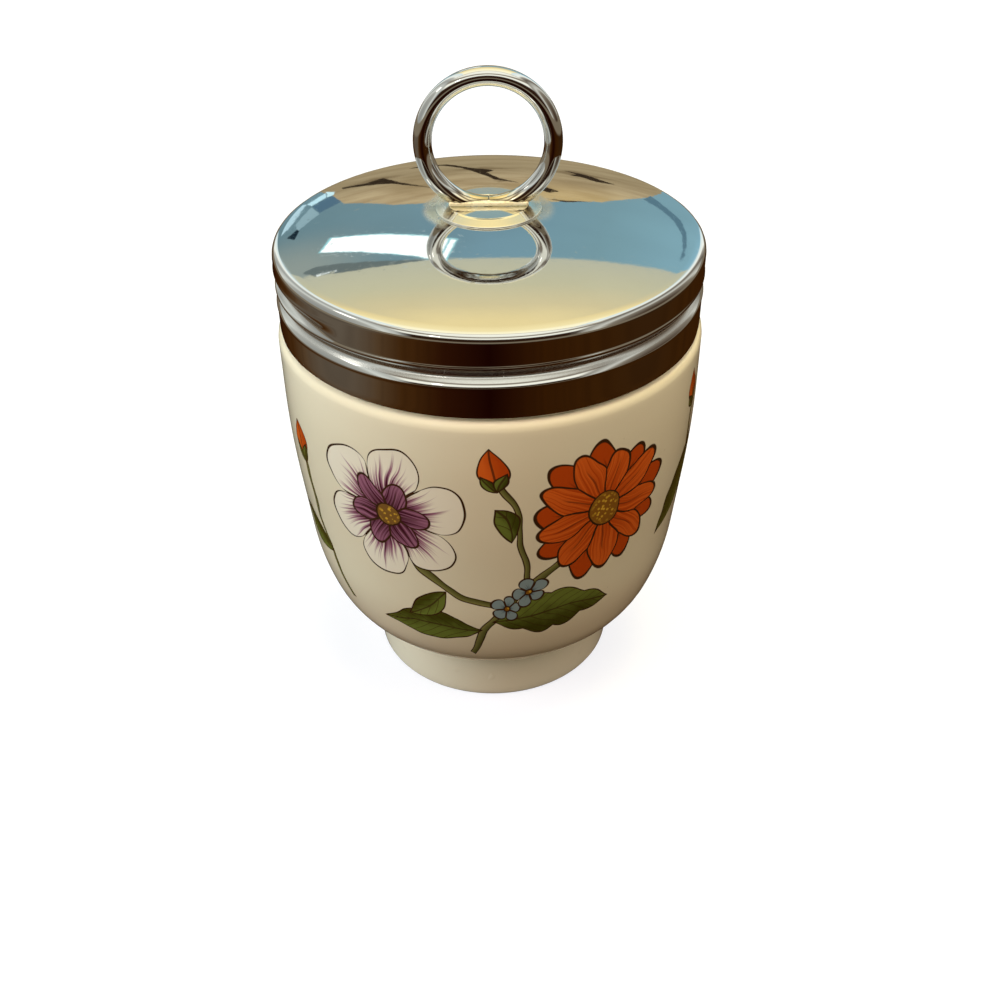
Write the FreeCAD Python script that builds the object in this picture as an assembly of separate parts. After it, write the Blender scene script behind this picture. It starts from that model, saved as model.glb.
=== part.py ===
import FreeCAD, Part
import math
import os

# A porcelain egg coddler: a glazed cup on a foot ring, with a screw neck, and a pressed metal
# cap that screws down over the neck. A ring handle stands on a collar in the middle of the cap
# and is held by one rivet through it.
#
# Millimetres. +Z up, the origin in the middle of the foot, on the surface that the cup stands on.
# The ring handle lies in the XZ plane.

# ---- cup ----
FOOT_RADIUS = 19.8
FOOT_TOP_RADIUS = 20.0
FOOT_HEIGHT = 9.0
FOOT_EDGE_ROUNDING = 0.8
FOOT_INNER_RADIUS = 17.2
RECESS_DEPTH = 4.6
RECESS_RADIUS = 15.8
RECESS_ROUNDING = 1.6
BOWL_RADIUS = 26.2
BOWL_HEIGHT = 13.3
BOWL_ROUNDING = 15.0
HAUNCH_RADIUS = 29.3
HAUNCH_HEIGHT = 22.8
HAUNCH_ROUNDING = 40.0
BELLY_RADIUS = 31.5
BELLY_HEIGHT = 44.9
BELLY_ROUNDING = 150.0
SHOULDER_HEIGHT = 61.2
SHOULDER_ROUNDING = 1.5
NECK_RADIUS = 28.95
NECK_ROOT_ROUNDING = 0.4
LIP_HEIGHT = 73.85
LIP_ROUNDING = 1.2
MOUTH_RADIUS = 26.2
THROAT_ROUNDING = 20.0
INNER_BELLY_RADIUS = 27.9
INNER_BELLY_HEIGHT = 46.0
INNER_BELLY_ROUNDING = 60.0
CUP_FLOOR_RADIUS = 25.8
CUP_FLOOR_HEIGHT = 8.2
CUP_FLOOR_ROUNDING = 14.5

# ---- cap ----
CAP_RADIUS = 31.0
SHEET = 0.45
SKIRT_BOTTOM = 61.6
RIM_CORNER_HEIGHT = 73.6
RIM_ROUNDING = 1.4
CAP_TOP = 77.5
DOME_CORNER_RADIUS = 15.0
DOME_ROUNDING = 113.0
CUT_EDGE_ROUNDING = 0.18

# ---- screw thread: the groove rolled into the cap, and the ridge on the neck above it ----
PITCH = 2.4
GROOVE_DEPTH = 0.85
GROOVE_HALF_WIDTH = 0.95
GROOVE_MOUTH = 0.2
BEAD_HALF_WIDTH = 1.14
RIDGE_DEPTH = 1.05
RIDGE_HALF_WIDTH = 0.7
RIDGE_ROOT = 0.25
GROOVE_HEIGHT_AT_FRONT = 67.65
FRONT_ANGLE = 270.0
GROOVE_BEGIN = 165.0
GROOVE_END = 590.0
RIDGE_BEGIN = 130.0
RIDGE_END = 500.0
FADE_ANGLE = 24.0
SECTION_STEP = 12.0

# ---- handle ----
COLLAR_RADIUS = 7.5
COLLAR_EDGE_TOP = 77.6
COLLAR_EDGE_ROUNDING = 0.2
COLLAR_FACE_RADIUS = 5.6
COLLAR_FACE_ROUNDING = 0.4
COLLAR_TOP = 78.15
RING_RADIUS = 9.0
RING_THICKNESS = 2.6
RING_DEPTH = 3.0
RING_CENTRE_HEIGHT = 86.8
FOOT_BAR_LENGTH = 11.2
FOOT_BAR_DEPTH = 3.2
FOOT_BAR_TOP = 78.9
FOOT_BAR_ROUNDING = 0.3

# ---- rivet ----
RIVET_RADIUS = 1.4
RIVET_CLEARANCE = 0.05
RIVET_TOP = 78.55
RIVET_TAIL_RADIUS = 3.2
RIVET_TAIL_THICKNESS = 1.0
RIVET_TAIL_ROUNDING = 0.7
RIVET_TIP_ROUNDING = 0.2

ORIGIN = FreeCAD.Vector(0, 0, 0)
UP = FreeCAD.Vector(0, 0, 1)
BACKWARD = FreeCAD.Vector(0, 1, 0)


def point(radius, height, angle=0.0):
    """The point at this distance from the Z axis and this height, at an angle in degrees."""
    turn = math.radians(angle)
    return FreeCAD.Vector(radius * math.cos(turn), radius * math.sin(turn), height)


def outline(corners):
    """A closed wire in the XZ plane. A corner is (radius, height) or (radius, height, rounding)."""
    edges = []
    ends = []
    count = len(corners)
    for index, corner in enumerate(corners):
        here = point(corner[0], corner[1])
        rounding = corner[2] if len(corner) > 2 else 0.0
        if not rounding:
            ends.append((here, here))
            continue
        before = corners[index - 1]
        after = corners[(index + 1) % count]
        back = (point(before[0], before[1]) - here).normalize()
        onward = (point(after[0], after[1]) - here).normalize()
        half_angle = back.getAngle(onward) / 2
        start = here + back * (rounding / math.tan(half_angle))
        end = here + onward * (rounding / math.tan(half_angle))
        inward = (back + onward).normalize()
        middle = here + inward * (rounding / math.sin(half_angle) - rounding)
        edges.append(Part.Arc(start, middle, end).toShape())
        ends.append((start, end))
    for index, (_, leaves) in enumerate(ends):
        arrives = ends[(index + 1) % count][0]
        edges.append(Part.LineSegment(leaves, arrives).toShape())
    return Part.Wire(Part.sortEdges(edges)[0])


def turned(corners):
    """The solid that the outline makes when it is turned about the Z axis."""
    return Part.Face(outline(corners)).revolve(ORIGIN, UP, 360)


def turned_in_quarters(corners):
    """The same solid with its faces parted every quarter, so that a thread crosses each in one run."""
    quarter = Part.Face(outline(corners)).revolve(ORIGIN, UP, 90)
    quarters = []
    for index in range(4):
        copy = quarter.copy()
        copy.rotate(ORIGIN, UP, 90 * index)
        quarters.append(copy)
    return quarters[0].fuse(quarters[1:])


def groove_height(angle):
    """The height of the middle of the rolled groove where its unwound angle is this."""
    return GROOVE_HEIGHT_AT_FRONT + PITCH * (angle - FRONT_ANGLE) / 360


def crescent(base, crest, half_width, height, angle):
    """A section across a thread: an arc from its base over its crest, closed along the base."""
    low = point(base, height - half_width, angle)
    high = point(base, height + half_width, angle)
    arc = Part.Arc(low, point(crest, height, angle), high).toShape()
    return Part.Wire([arc, Part.LineSegment(high, low).toShape()])


def thread(wall, depth, half_width, back, begin, finish, rise=0.0):
    """A run of thread that stands `depth` in from a wall and fades into it at both ends.

    Its base lies `back` behind the wall's face, so that it meets the wall squarely.
    """
    steps = round((finish - begin) / SECTION_STEP)
    base = wall + back
    reach = depth + back
    least_share = back / reach / 2
    sections = []
    for step in range(steps + 1):
        angle = begin + (finish - begin) * step / steps
        fade = min(1.0, (angle - begin) / FADE_ANGLE, (finish - angle) / FADE_ANGLE)
        share = least_share + (1 - least_share) * math.sin(fade * math.pi / 2)
        height = groove_height(angle) + rise
        sections.append(crescent(base, base - reach * share, half_width, height, angle))
    return Part.makeLoft(sections, True, False)


def porcelain_cup():
    body = turned_in_quarters([
        (0, RECESS_DEPTH),
        (RECESS_RADIUS, RECESS_DEPTH, RECESS_ROUNDING),
        (FOOT_INNER_RADIUS, 0, FOOT_EDGE_ROUNDING),
        (FOOT_RADIUS, 0, FOOT_EDGE_ROUNDING),
        (FOOT_TOP_RADIUS, FOOT_HEIGHT, FOOT_EDGE_ROUNDING),
        (BOWL_RADIUS, BOWL_HEIGHT, BOWL_ROUNDING),
        (HAUNCH_RADIUS, HAUNCH_HEIGHT, HAUNCH_ROUNDING),
        (BELLY_RADIUS, BELLY_HEIGHT, BELLY_ROUNDING),
        (BELLY_RADIUS, SHOULDER_HEIGHT, SHOULDER_ROUNDING),
        (NECK_RADIUS, SHOULDER_HEIGHT, NECK_ROOT_ROUNDING),
        (NECK_RADIUS, LIP_HEIGHT, LIP_ROUNDING),
        (MOUTH_RADIUS, LIP_HEIGHT, LIP_ROUNDING),
        (MOUTH_RADIUS, SHOULDER_HEIGHT, THROAT_ROUNDING),
        (INNER_BELLY_RADIUS, INNER_BELLY_HEIGHT, INNER_BELLY_ROUNDING),
        (CUP_FLOOR_RADIUS, CUP_FLOOR_HEIGHT, CUP_FLOOR_ROUNDING),
        (0, CUP_FLOOR_HEIGHT),
    ])
    neck_ridge = thread(
        NECK_RADIUS, -RIDGE_DEPTH, RIDGE_HALF_WIDTH, -RIDGE_ROOT, RIDGE_BEGIN, RIDGE_END, PITCH / 2
    )
    return body.fuse(neck_ridge)


def dome_underside(radius):
    """The height of the sloping inner face of the cap, outside its rounded middle."""
    slope = (CAP_TOP - RIM_CORNER_HEIGHT) / (CAP_RADIUS - DOME_CORNER_RADIUS)
    thickness = SHEET * math.hypot(1, slope)
    return CAP_TOP - thickness - (radius - DOME_CORNER_RADIUS) * slope


def lid_shell():
    inner_radius = CAP_RADIUS - SHEET
    hole_radius = RIVET_RADIUS + RIVET_CLEARANCE
    sheet = turned_in_quarters([
        (hole_radius, CAP_TOP),
        (DOME_CORNER_RADIUS, CAP_TOP, DOME_ROUNDING),
        (CAP_RADIUS, RIM_CORNER_HEIGHT, RIM_ROUNDING),
        (CAP_RADIUS, SKIRT_BOTTOM, CUT_EDGE_ROUNDING),
        (inner_radius, SKIRT_BOTTOM, CUT_EDGE_ROUNDING),
        (inner_radius, dome_underside(inner_radius), RIM_ROUNDING - SHEET),
        (DOME_CORNER_RADIUS, CAP_TOP - SHEET, DOME_ROUNDING - SHEET),
        (hole_radius, CAP_TOP - SHEET),
    ])
    bead = thread(
        inner_radius, GROOVE_DEPTH, BEAD_HALF_WIDTH, SHEET / 2, GROOVE_BEGIN, GROOVE_END
    )
    groove = thread(
        CAP_RADIUS, GROOVE_DEPTH, GROOVE_HALF_WIDTH, GROOVE_MOUTH, GROOVE_BEGIN, GROOVE_END
    )
    return sheet.fuse(bead).cut(groove)


def handle_collar():
    hole_radius = RIVET_RADIUS + RIVET_CLEARANCE
    below_dome = RIM_CORNER_HEIGHT
    blank = turned([
        (hole_radius, below_dome),
        (COLLAR_RADIUS, below_dome),
        (COLLAR_RADIUS, COLLAR_EDGE_TOP, COLLAR_EDGE_ROUNDING),
        (COLLAR_FACE_RADIUS, COLLAR_TOP, COLLAR_FACE_ROUNDING),
        (hole_radius, COLLAR_TOP),
    ])
    dome = turned([
        (0, below_dome),
        (0, CAP_TOP),
        (DOME_CORNER_RADIUS, CAP_TOP, DOME_ROUNDING),
        (CAP_RADIUS, RIM_CORNER_HEIGHT),
    ])
    return blank.cut(dome)


def ring_handle():
    section = Part.Ellipse(ORIGIN, RING_DEPTH / 2, RING_THICKNESS / 2).toShape()
    section = Part.Face(Part.Wire([section]))
    section.rotate(ORIGIN, UP, 90)
    section.translate(FreeCAD.Vector(RING_RADIUS, 0, 0))
    ring = section.revolve(ORIGIN, BACKWARD, 360)
    ring.translate(FreeCAD.Vector(0, 0, RING_CENTRE_HEIGHT))
    bar_height = FOOT_BAR_TOP - COLLAR_TOP
    bar_corner = FreeCAD.Vector(-FOOT_BAR_LENGTH / 2, -FOOT_BAR_DEPTH / 2, COLLAR_TOP)
    bar = Part.makeBox(FOOT_BAR_LENGTH, FOOT_BAR_DEPTH, bar_height, bar_corner)
    bar = bar.makeFillet(FOOT_BAR_ROUNDING, bar.Edges)
    below_collar_top = Part.makeCylinder(2 * RING_RADIUS, COLLAR_TOP)
    socket_foot = FreeCAD.Vector(0, 0, COLLAR_TOP)
    socket_height = RIVET_TOP + RIVET_CLEARANCE - COLLAR_TOP
    socket = Part.makeCylinder(RIVET_RADIUS + RIVET_CLEARANCE, socket_height, socket_foot)
    return ring.cut(below_collar_top).fuse(bar).cut(socket).removeSplitter()


def handle_rivet():
    under_cap = CAP_TOP - SHEET - RIVET_CLEARANCE
    tail_bottom = under_cap - RIVET_TAIL_THICKNESS
    return turned([
        (0, tail_bottom),
        (RIVET_TAIL_RADIUS, tail_bottom, RIVET_TAIL_ROUNDING),
        (RIVET_TAIL_RADIUS, under_cap),
        (RIVET_RADIUS, under_cap),
        (RIVET_RADIUS, RIVET_TOP, RIVET_TIP_ROUNDING),
        (0, RIVET_TOP),
    ])


NODES = {
    "porcelain_cup": porcelain_cup,
    "lid_shell": lid_shell,
    "handle_collar": handle_collar,
    "ring_handle": ring_handle,
    "handle_rivet": handle_rivet,
}

os.makedirs("parts", exist_ok=True)
for name, make in NODES.items():
    shape = make()
    shape.exportStep(f"parts/{name}.step")
    print(name, "valid" if shape.isValid() else "NOT VALID", len(shape.Solids), round(shape.Volume, 1))
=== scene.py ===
import math

import bmesh
import bpy
from mathutils import Matrix, Vector, noise


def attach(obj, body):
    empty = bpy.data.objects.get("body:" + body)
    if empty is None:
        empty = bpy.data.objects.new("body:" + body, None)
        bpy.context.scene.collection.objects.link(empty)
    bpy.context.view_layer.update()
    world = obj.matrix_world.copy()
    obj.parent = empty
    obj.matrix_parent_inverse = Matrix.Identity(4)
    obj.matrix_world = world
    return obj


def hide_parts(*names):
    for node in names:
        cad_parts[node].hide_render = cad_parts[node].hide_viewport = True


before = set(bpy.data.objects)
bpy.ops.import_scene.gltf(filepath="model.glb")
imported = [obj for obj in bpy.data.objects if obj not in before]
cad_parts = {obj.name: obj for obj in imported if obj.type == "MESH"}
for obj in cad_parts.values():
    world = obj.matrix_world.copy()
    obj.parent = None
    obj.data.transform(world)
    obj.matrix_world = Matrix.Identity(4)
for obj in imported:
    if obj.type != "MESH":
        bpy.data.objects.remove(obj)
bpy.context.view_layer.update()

bl_info = {
    "name": "Egg Coddler",
    "version": (1, 0, 0),
    "blender": (4, 5, 0),
    "location": "3D View > Sidebar > Egg Coddler",
    "description": "Dresses an egg coddler: porcelain cup, screw lid, ring handle and studio",
    "category": "Object",
}

MM = 0.001
TAU = 2 * math.pi

# Millimetres, as the parts are made. Heights are above the table, and an outline's corners are
# (radius, height, rounding).
FOOT_HEIGHT = 9.0
BELLY_RADIUS = 31.5
SHOULDER_HEIGHT = 61.2
NECK_RADIUS = 28.95
LIP_HEIGHT = 73.85
LIP_RADIUS = 26.2
CUP_OUTLINE = [
    (0, 4.6, 0),
    (15.8, 4.6, 1.6),
    (17.2, 0, 0.8),
    (19.8, 0, 0.8),
    (20.0, FOOT_HEIGHT, 0.8),
    (26.2, 13.3, 15.0),
    (29.3, 22.8, 40.0),
    (BELLY_RADIUS, 44.9, 150.0),
    (BELLY_RADIUS, SHOULDER_HEIGHT, 1.5),
    (NECK_RADIUS, SHOULDER_HEIGHT, 0.4),
    (NECK_RADIUS, LIP_HEIGHT, 1.2),
    (LIP_RADIUS, LIP_HEIGHT, 1.2),
    (LIP_RADIUS, SHOULDER_HEIGHT, 20.0),
    (27.9, 46.0, 60.0),
    (25.8, 8.2, 14.5),
    (0, 8.2, 0),
]
CAP_RADIUS = 31.0
SHEET = 0.45
SKIRT_BOTTOM = 61.6
RIM_CORNER_HEIGHT = 73.6
RIM_ROUNDING = 1.4
CAP_TOP = 77.5
DOME_CORNER_RADIUS = 15.0
DOME_ROUNDING = 113.0
CUT_EDGE_ROUNDING = 0.18
RIVET_HOLE_RADIUS = 1.45
PITCH = 2.4
GROOVE_HEIGHT_AT_FRONT = 67.65
# Bearings and fades are in degrees.
FRONT_BEARING = 270
GROOVE_RUN = (165.0, 590.0)
RIDGE_RUN = (130.0, 500.0)
RIDGE_HALF_WIDTH = 0.95
THREAD_FADE = 24.0
BEAD_SHARE = 0.12
BEAD_PLACE = 1.1
BEAD_HALF_WIDTH = 0.3
COLLAR_RADIUS = 7.5
COLLAR_TOP = 78.15
COLLAR_OUTLINE = [
    (RIVET_HOLE_RADIUS, CAP_TOP, 0),
    (COLLAR_RADIUS, 77.3, 0),
    (COLLAR_RADIUS, 77.6, 0.13),
    (5.9, 78.02, 0.9),
    (5.6, COLLAR_TOP, 0.12),
    (RIVET_HOLE_RADIUS, COLLAR_TOP, 0),
]
RING_CENTRE = Vector((0, 0, 86.8))
RING_RADIUS = 9.0
JOINT_CUTS = (-0.16, -0.08, 0.0, 0.08, 0.16)
JOINT_REACH = 0.15
JOINT_WIDTH = 0.07
JOINT_DEPTH = 0.09
FOOT_BAR_TOP = 78.9
FOOT_BAR_LENGTH = 11.2
FOOT_BAR_WIDTH = 3.2
FOOT_BAR_ROUNDING = 0.28
# For its lumps the bar is cut across each axis: axis, from, to, pace.
BRAZING_CUTS = ((0, -5.2, 5.2, 0.16), (1, -1.3, 1.3, 0.16), (2, 78.4, 78.65, 0.12))

# How finely a mesh is divided: millimetres along its outline, or steps round a turn.
CUP_PACE, CUP_STEPS = 1.1, 300
LID_PACE, LID_STEPS = 0.9, 336
COLLAR_PACE, COLLAR_STEPS = 0.2, 160
RING_SIDES, RING_STEPS = 44, 220
RIDGE_PACE, GROOVE_PACE = 0.18, 0.13
LEAST_ARC_STEPS = 5
MERGE_DISTANCE = 0.001
CUT_DISTANCE = 0.0001


def tint(red, green, blue):
    """A colour given in the eight-bit levels of a screen, as Blender's linear colour."""
    levels = (level / 255 for level in (red, green, blue))
    return tuple(v / 12.92 if v <= 0.04045 else ((v + 0.055) / 1.055) ** 2.4 for v in levels)


# ---- modelling

def divide(bm, edge, pace):
    """Cuts an edge into parts no longer than the pace."""
    cuts = math.ceil(edge.calc_length() / pace) - 1
    if cuts > 0:
        bmesh.ops.subdivide_edges(bm, edges=[edge], cuts=cuts)


def lay_outline(bm, corners, pace, closed=False):
    """Lays straight runs with round corners in the XZ plane."""
    points = [Vector((x, 0, z)) for x, z, _ in corners]
    first = last = None
    for index, (here, (_, _, rounding)) in enumerate(zip(points, corners)):
        if rounding:
            back = (points[index - 1] - here).normalized()
            onward = (points[(index + 1) % len(points)] - here).normalized()
            half = back.angle(onward) / 2
            run = rounding / math.tan(half)
            centre = here + (back + onward).normalized() * (rounding / math.sin(half))
            start, end = here + back * run, here + onward * run
            arrives = bm.verts.new(start)
            bend = math.pi - 2 * half
            steps = max(LEAST_ARC_STEPS, math.ceil(rounding * bend / pace))
            axis = (start - centre).cross(end - centre)
            arc = bmesh.ops.spin(
                bm, geom=[arrives], cent=centre, axis=axis.normalized(), angle=bend, steps=steps
            )
            leaves = arc["geom_last"][0]
        else:
            arrives = leaves = bm.verts.new(here)
        if last:
            bm.edges.new((last, arrives))
        first = first or arrives
        last = leaves
    if closed:
        bm.edges.new((last, first))
    for edge in bm.edges[:]:
        divide(bm, edge, pace)


def crowd_outline(bm, low, high, pace, least_radius):
    """Cuts the upright runs between two heights finer, where a thread will be pressed in."""
    for edge in bm.edges[:]:
        if all(v.co.x > least_radius and low < v.co.z < high for v in edge.verts):
            divide(bm, edge, pace)


def face_outwards(bm):
    bmesh.ops.recalc_face_normals(bm, faces=bm.faces[:])


def turn(bm, steps, centre=(0, 0, 0), axis=(0, 0, 1)):
    """Turns the outline once round an axis and closes the seam and the poles."""
    bmesh.ops.spin(
        bm, geom=bm.verts[:] + bm.edges[:], cent=centre, axis=axis, angle=TAU, steps=steps,
        use_merge=True,
    )
    bmesh.ops.remove_doubles(bm, verts=bm.verts[:], dist=MERGE_DISTANCE)
    face_outwards(bm)


def cut(bm, place, normal, geometry=None, **keep):
    """Cuts the mesh, or some of it, through a plane."""
    geometry = geometry or bm.verts[:] + bm.edges[:] + bm.faces[:]
    bmesh.ops.bisect_plane(
        bm, geom=geometry, plane_co=place, plane_no=normal, dist=CUT_DISTANCE, **keep
    )


def hump(gap):
    """A smooth hump: 1 at gap 0, and 0 from gap 1 on."""
    return 0.5 + 0.5 * math.cos(math.pi * gap) if abs(gap) < 1 else 0.0


def thread_push(vert, run, half_width, rise, bead=0.0):
    """How far a thread pushes a wall's point, from 0 to 1. A bead beside it goes the other way."""
    bearing = math.degrees(math.atan2(vert.co.y, vert.co.x)) % 360
    push = 0.0
    for unwound in (bearing, bearing + 360):
        if run[0] < unwound < run[1]:
            height = GROOVE_HEIGHT_AT_FRONT + PITCH * (unwound - FRONT_BEARING) / 360 + rise
            gap = abs(vert.co.z - height) / half_width
            fade = min(1, (unwound - run[0]) / THREAD_FADE, (run[1] - unwound) / THREAD_FADE)
            full = math.sin(fade * math.pi / 2)
            push += full * hump(gap)
            push -= full * bead * hump((gap - BEAD_PLACE) / BEAD_HALF_WIDTH)
    return min(push, 1.0)


def press_thread(bm, least_radius, low, high, distance, *thread):
    """Moves a thread out of the walls beyond a radius and between two heights, or into them."""
    for vert in bm.verts:
        radius = math.hypot(vert.co.x, vert.co.y)
        if radius > least_radius and low < vert.co.z < high:
            growth = 1 + distance * thread_push(vert, *thread) / radius
            vert.co.x *= growth
            vert.co.y *= growth


def object_of(bm, name, material):
    """Makes a mesh an object of the scene."""
    mesh = bpy.data.meshes.new(name)
    bm.to_mesh(mesh)
    bm.free()
    made = bpy.data.objects.new(name, mesh)
    bpy.context.scene.collection.objects.link(made)
    mesh.materials.append(material)
    return made


def finish_piece(name, bm, body, node, material):
    """Makes the piece from its mesh in millimetres, in the place of its CAD node."""
    bmesh.ops.scale(bm, vec=(MM, MM, MM), verts=bm.verts)
    piece = object_of(bm, name, material)
    piece.data.shade_smooth()
    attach(piece, body)
    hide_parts(node)


# ---- material maths

def math_operator(operation, swapped=False):
    """An operator of Value that adds a Math node."""
    def work(self, *other):
        return self.mix.maths(operation, *((*other, self) if swapped else (self, *other)))
    return work


class Value:
    """A number that changes over a surface. Sums written on it add Math nodes to its mix."""

    def __init__(self, mix, socket):
        self.mix = mix
        self.socket = socket

    __add__ = __radd__ = math_operator("ADD")
    __mul__ = __rmul__ = math_operator("MULTIPLY")
    __sub__, __rsub__ = math_operator("SUBTRACT"), math_operator("SUBTRACT", swapped=True)
    __truediv__, __rtruediv__ = math_operator("DIVIDE"), math_operator("DIVIDE", swapped=True)
    __abs__ = math_operator("ABSOLUTE")
    __gt__ = math_operator("GREATER_THAN")


class Mixture:
    """Writes the nodes of one material or of the world. A mix is one of these."""

    def __init__(self, tree):
        self.tree = tree
        tree.nodes.clear()

    def node(self, kind, settings=None, sockets=None):
        """Adds a node of a type, with its settings first and then its sockets' values or links."""
        made = self.tree.nodes.new("ShaderNode" + kind)
        for name, value in (settings or {}).items():
            if name == "stops":
                self.set_stops(made.color_ramp, value)
            else:
                setattr(made, name, value)
        for name, value in (sockets or {}).items():
            self.feed(made.inputs[name], value)
        return made

    def feed(self, socket, value):
        """Links a value to a socket, or sets it to a number or a colour."""
        if isinstance(value, Value):
            value = value.socket
        if isinstance(value, bpy.types.NodeSocket):
            self.tree.links.new(value, socket)
        elif socket.type == "RGBA":
            socket.default_value = (*value, 1)
        else:
            socket.default_value = value

    def set_stops(self, ramp, stops):
        """Gives a colour ramp its stops: a place and the three levels of a colour."""
        while len(ramp.elements) < len(stops):
            ramp.elements.new(1)
        for element, (place, *levels) in zip(ramp.elements, stops):
            element.position = place
            element.color = (*tint(*levels), 1)

    def maths(self, operation, *inputs):
        """One Math node."""
        made = self.node("Math", {"operation": operation}, dict(enumerate(inputs)))
        return Value(self, made.outputs[0])

    def smaller(self, a, b):
        return self.maths("MINIMUM", a, b)

    def larger(self, a, b):
        return self.maths("MAXIMUM", a, b)

    def reach(self, x, y):
        """How far (x, y) is from the middle."""
        return self.maths("SQRT", x * x + y * y)

    def blend(self, share, a, b):
        """The colour that is a where share is 0 and b where it is 1."""
        sockets = {0: share, 6: a, 7: b}
        return self.node("Mix", {"data_type": "RGBA"}, sockets).outputs[2]

    def paint(self, ground, share, *levels):
        """Lays a share of one colour over a ground."""
        return self.blend(share, ground, tint(*levels))

    def ease(self, value, low, high):
        """0 below low, 1 above high, and a smooth step between them."""
        settings = {"interpolation_type": "SMOOTHSTEP"}
        made = self.node("MapRange", settings, {0: value, 1: low, 2: high})
        return Value(self, made.outputs[0])

    def ramp(self, value, stops):
        return self.node("ValToRGB", {"stops": stops}, {0: value}).outputs[0]

    def vector(self, x, y, z=0.0):
        return self.node("CombineXYZ", sockets={0: x, 1: y, 2: z}).outputs[0]

    def noise(self, place, scale, detail=2.0, roughness=0.5):
        """Soft noise about 0.5."""
        sockets = {"Vector": place, "Scale": scale, "Detail": detail, "Roughness": roughness}
        return Value(self, self.node("TexNoise", sockets=sockets).outputs[0])

    def parts(self, vector):
        """The three numbers of a vector."""
        made = self.node("SeparateXYZ", sockets={0: vector})
        return [Value(self, socket) for socket in made.outputs]

    def in_millimetres(self):
        """The place on the piece as a vector in millimetres."""
        place = self.node("TexCoord").outputs["Object"]
        settings = {"operation": "SCALE"}
        return self.node("VectorMath", settings, {0: place, "Scale": 1 / MM}).outputs[0]

    def bump(self, height, depth=1.0):
        """A normal from a height in millimetres."""
        sockets = {"Strength": 1.0, "Distance": depth * MM, "Height": height}
        return self.node("Bump", sockets=sockets).outputs[0]

    def output(self, kind, shader):
        self.node("Output" + kind, sockets={"Surface": shader})

    def surface(self, **sockets):
        """The Principled shader and the output."""
        named = {name.replace("_", " ").title(): value for name, value in sockets.items()}
        self.output("Material", self.node("BsdfPrincipled", sockets=named).outputs[0])

    def shine(self, kind, colour, strength=1.0):
        """A shader that gives light by itself."""
        return self.node(kind, sockets={"Color": colour, "Strength": strength}).outputs[0]

    def matt(self, colour):
        return self.node("BsdfDiffuse", sockets={"Color": colour}).outputs[0]

    def choose(self, share, a, b):
        """The shader that is a where share is 0 and b where it is 1."""
        return self.node("MixShader", sockets={0: share, 1: a, 2: b}).outputs[0]


def new_mixture(name):
    material = bpy.data.materials.new(name)
    material.use_nodes = True
    return material, Mixture(material.node_tree)


# ---- printed flowers

LINE = 0.26
EDGE_SOFTNESS = 0.09


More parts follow.
